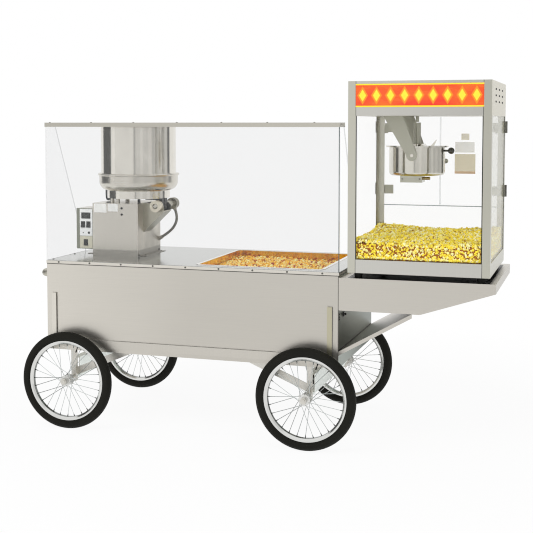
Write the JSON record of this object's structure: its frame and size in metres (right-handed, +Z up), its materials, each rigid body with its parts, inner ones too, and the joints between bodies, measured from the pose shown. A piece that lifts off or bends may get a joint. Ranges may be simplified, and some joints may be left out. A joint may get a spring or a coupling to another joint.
{
  "type": "concession cart",
  "caption": "Wheeled stainless concession cart with clear food guard, tilting kettle cooker, recessed cooling pan, sign channel, push handle and a cantilever shelf carrying a glass corn popper.",
  "frame": {"origin": "on the ground, at the middle of the cart's footprint", "axes": "+X along the cart from the push handle to the extension shelf, +Z up, the sign channel faces -Y"},
  "size_m": [2.444, 0.9966, 1.7969],
  "materials": {
    "stainless": "satin",
    "bright_steel": "polished",
    "zinc_steel": "satin",
    "clear_acrylic": "gloss",
    "clear_glass": "polished",
    "tyre": "matte",
    "black_rubber": "matte",
    "black_plastic": "satin",
    "cast_metal": "satin",
    "face_plate": "satin",
    "sign_panel": "gloss",
    "grey_hose": "satin",
    "popcorn": "matte",
    "caramel": "gloss"
  },
  "bodies": {
    "cart": {"front_panel": "stainless", "sign_channels": "stainless", "end_panels": "stainless", "rear_frame": "stainless", "floor_panel": "stainless", "deck_top": "stainless", "cooling_pan": "stainless", "caramel_corn": "caramel", "guard_panes": "clear_acrylic", "guard_top_rail": "stainless", "push_handle": "bright_steel", "extension_shelf": "stainless", "shelf_brace": "stainless", "axle_frames": "zinc_steel", "axles": "zinc_steel", "cooker_base": "stainless", "control_box": "stainless", "control_face": "face_plate", "tilt_bracket": "stainless", "bowl_conduit": "grey_hose", "mixer_motor": "cast_metal", "popper_base": "stainless", "popper_frame": "stainless", "popper_header": "stainless", "popper_sign": "sign_panel", "popper_panes": "clear_glass", "popper_feet": "black_rubber", "popper_motor": "cast_metal", "kettle_hanger": "stainless", "kettle_lead": "grey_hose", "popped_corn": "popcorn"},
    "storage_left": {"storage_door_left": "stainless"},
    "storage_right": {"storage_door_right": "stainless"},
    "heat_rocker": {"heat_switch": "black_plastic"},
    "mixer_rocker": {"mixer_switch": "black_plastic"},
    "power_rocker": {"power_switch": "black_plastic"},
    "bowl": {"tilt_shaft": "bright_steel", "heater_skirt": "bright_steel", "cooker_bowl": "bright_steel", "bowl_guard": "bright_steel"},
    "paddle": {"mixing_paddle": "bright_steel"},
    "popper_left_door": {"popper_door_left": "clear_acrylic"},
    "popper_right_door": {"popper_door_right": "clear_acrylic"},
    "kettle": {"kettle_pot": "bright_steel", "kettle_lid": "bright_steel", "kettle_handle": "black_plastic"},
    "lid_flap": {"kettle_lid_flap": "bright_steel"},
    "stirrer": {"kettle_stirrer": "bright_steel"},
    "wheel_front_left": {"wheel_front_left_tyre": "tyre", "wheel_front_left_rim": "bright_steel", "wheel_front_left_spokes": "bright_steel"},
    "wheel_rear_left": {"wheel_rear_left_tyre": "tyre", "wheel_rear_left_rim": "bright_steel", "wheel_rear_left_spokes": "bright_steel"},
    "wheel_front_right": {"wheel_front_right_tyre": "tyre", "wheel_front_right_rim": "bright_steel", "wheel_front_right_spokes": "bright_steel"},
    "wheel_rear_right": {"wheel_rear_right_tyre": "tyre", "wheel_rear_right_rim": "bright_steel", "wheel_rear_right_spokes": "bright_steel"}
  },
  "joints": [
    {"name": "wheel_front_left_spin", "type": "hinge", "parent": "cart", "child": "wheel_front_left", "pos_m": [-0.968, -0.453, 0.254], "axis": [0, 1, 0], "continuous": true},
    {"name": "wheel_rear_left_spin", "type": "hinge", "parent": "cart", "child": "wheel_rear_left", "pos_m": [-0.968, 0.453, 0.254], "axis": [0, 1, 0], "continuous": true},
    {"name": "wheel_front_right_spin", "type": "hinge", "parent": "cart", "child": "wheel_front_right", "pos_m": [0.324, -0.453, 0.254], "axis": [0, 1, 0], "continuous": true},
    {"name": "wheel_rear_right_spin", "type": "hinge", "parent": "cart", "child": "wheel_rear_right", "pos_m": [0.324, 0.453, 0.254], "axis": [0, 1, 0], "continuous": true},
    {"name": "storage_left_slide", "type": "slide", "parent": "cart", "child": "storage_left", "axis": [1, 0, 0], "range_m": [0, 0.732]},
    {"name": "storage_right_slide", "type": "slide", "parent": "cart", "child": "storage_right", "axis": [1, 0, 0], "range_m": [-0.732, 0]},
    {"name": "heat_rocker_tip", "type": "hinge", "parent": "cart", "child": "heat_rocker", "pos_m": [-1.0385, -0.1155, 1.04], "axis": [1, 0, 0], "range_deg": [0, 10]},
    {"name": "mixer_rocker_tip", "type": "hinge", "parent": "cart", "child": "mixer_rocker", "pos_m": [-1.0055, -0.1155, 1.04], "axis": [1, 0, 0], "range_deg": [0, 10]},
    {"name": "power_rocker_tip", "type": "hinge", "parent": "cart", "child": "power_rocker", "pos_m": [-1.022, -0.1155, 0.941], "axis": [1, 0, 0], "range_deg": [0, 10]},
    {"name": "bowl_tilt", "type": "hinge", "parent": "cart", "child": "bowl", "pos_m": [-0.624, 0.043, 1.146], "axis": [0, 1, 0], "range_deg": [0, 95]},
    {"name": "paddle_spin", "type": "hinge", "parent": "bowl", "child": "paddle", "pos_m": [-0.776, 0.043, 1.2283], "axis": [0, 0, 1], "continuous": true},
    {"name": "popper_left_door_swing", "type": "hinge", "parent": "cart", "child": "popper_left_door", "pos_m": [0.5185, 0.342, 1.159], "axis": [0, 0, 1], "range_deg": [0, 110]},
    {"name": "popper_right_door_swing", "type": "hinge", "parent": "cart", "child": "popper_right_door", "pos_m": [1.1875, 0.342, 1.159], "axis": [0, 0, -1], "range_deg": [0, 110]},
    {"name": "kettle_tilt", "type": "hinge", "parent": "cart", "child": "kettle", "pos_m": [0.788, -0.0195, 1.437], "axis": [0, 1, 0], "range_deg": [0, 95]},
    {"name": "lid_flap_lift", "type": "hinge", "parent": "kettle", "child": "lid_flap", "pos_m": [0.82, -0.0195, 1.4878], "axis": [0, -1, 0], "range_deg": [0, 60]},
    {"name": "stirrer_spin", "type": "hinge", "parent": "kettle", "child": "stirrer", "pos_m": [0.788, -0.0195, 1.336], "axis": [0, 0, 1], "continuous": true}
  ]
}
